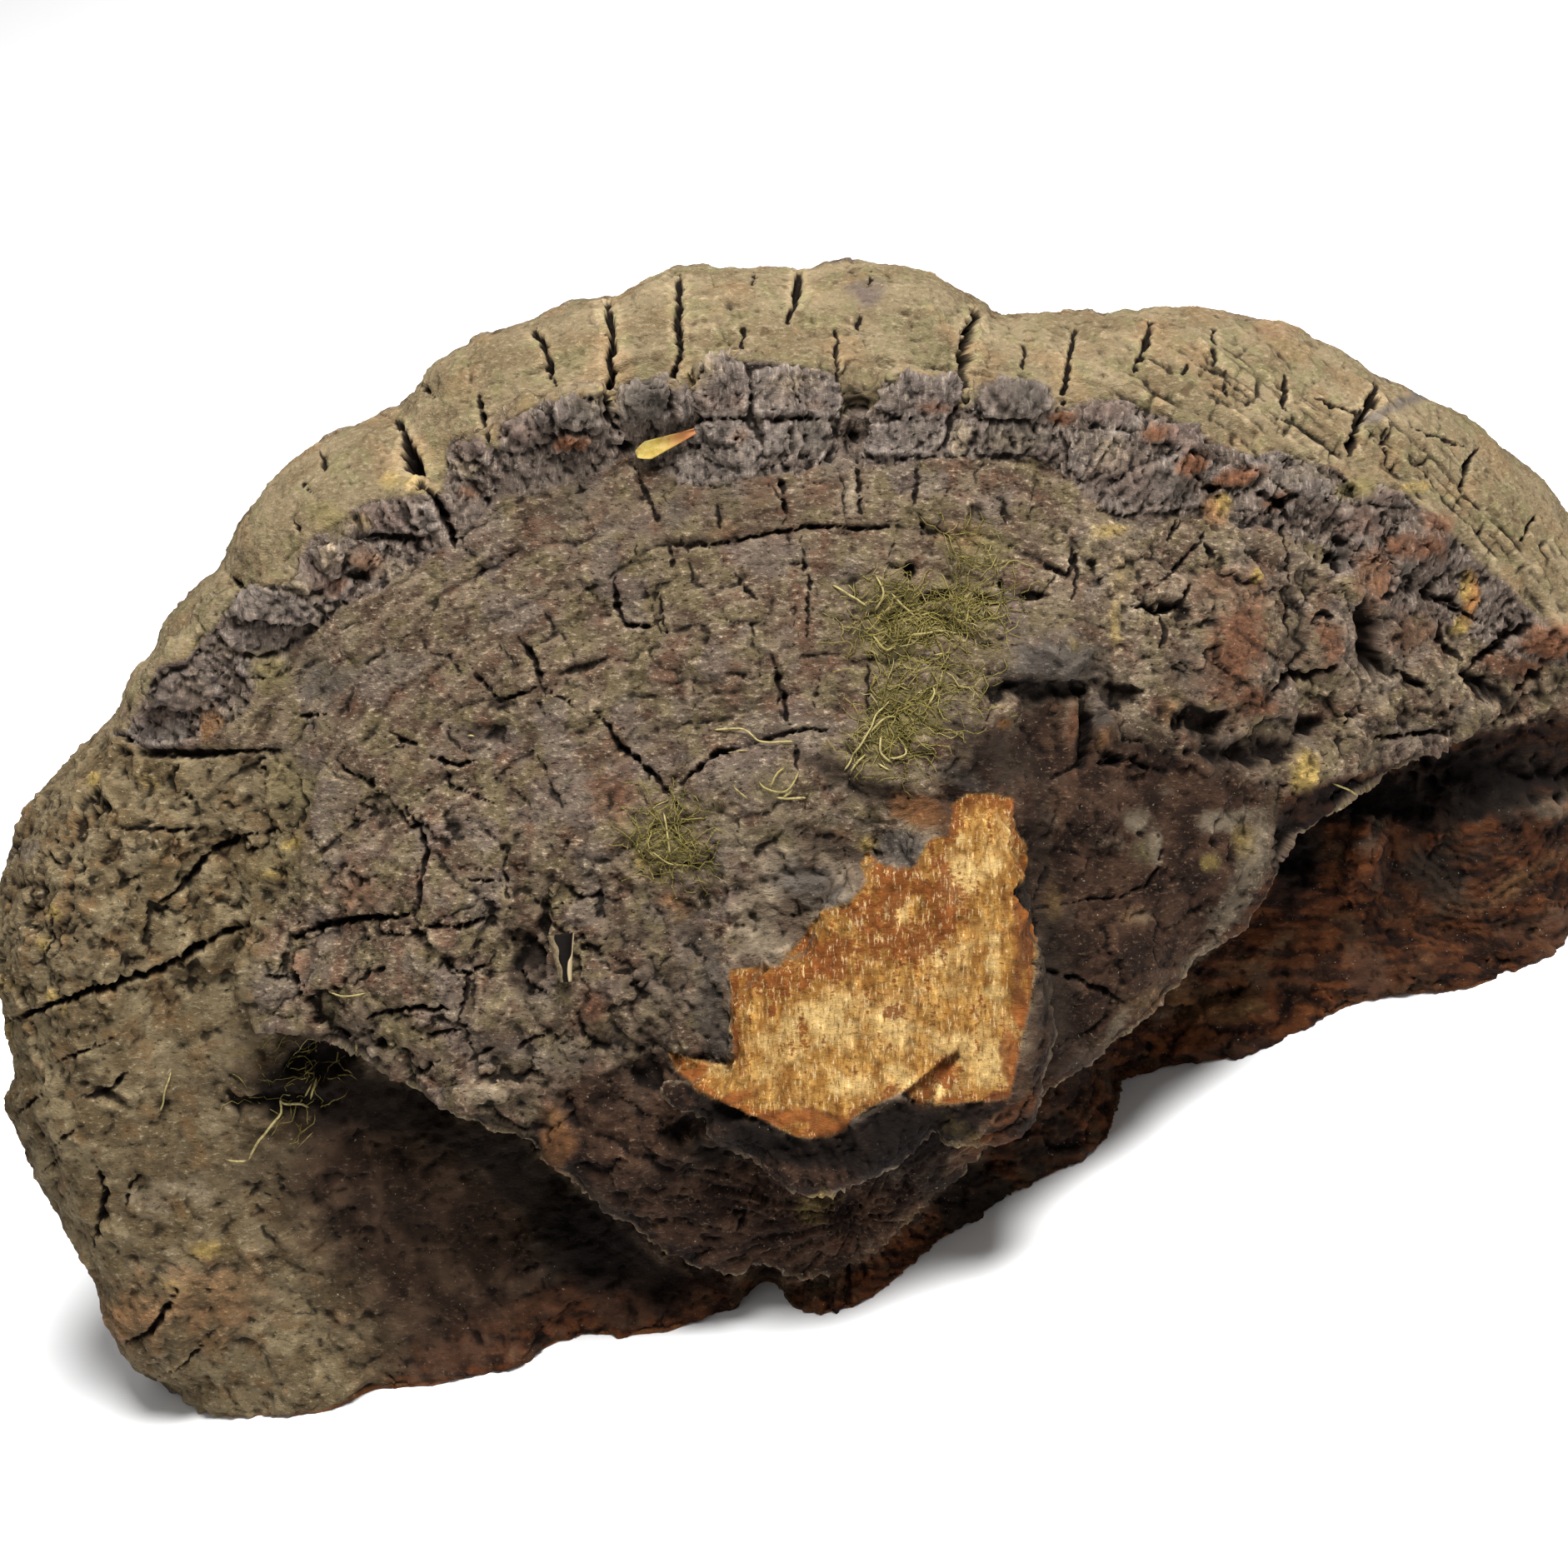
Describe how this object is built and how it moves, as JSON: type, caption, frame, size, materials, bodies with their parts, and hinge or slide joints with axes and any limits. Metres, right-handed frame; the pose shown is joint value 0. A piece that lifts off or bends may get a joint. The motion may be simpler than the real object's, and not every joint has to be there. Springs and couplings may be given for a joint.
{
  "type": "willow bracket fungus",
  "caption": "Woody fan-shaped bracket fungus with a thick scalloped margin, a cracked old cap and a torn pale stub, standing on the flat cut where it grew.",
  "frame": {"origin": "on the flat cut where the bracket grew on its trunk, below the middle of the fan", "axes": "+Z from the cut out to the growing margin, -Y out of the weathered cap, +Y out of the pore surface, +X along the cut"},
  "size_m": [0.2177, 0.0787, 0.1137],
  "materials": {
    "weathered_crust": "rough weathered crust, cracked, grey-brown with a tan margin",
    "moss": "dry fine moss, olive to straw",
    "bud_scale": "dry papery willow bud scale, ochre",
    "husk": "thin split seed husk, pale"
  },
  "bodies": {
    "root": {"bracket": "weathered_crust", "moss_tuft": "moss", "moss_patch": "moss", "moss_wisp": "moss", "bud_scale": "bud_scale", "husk": "husk"}
  },
  "joints": []
}
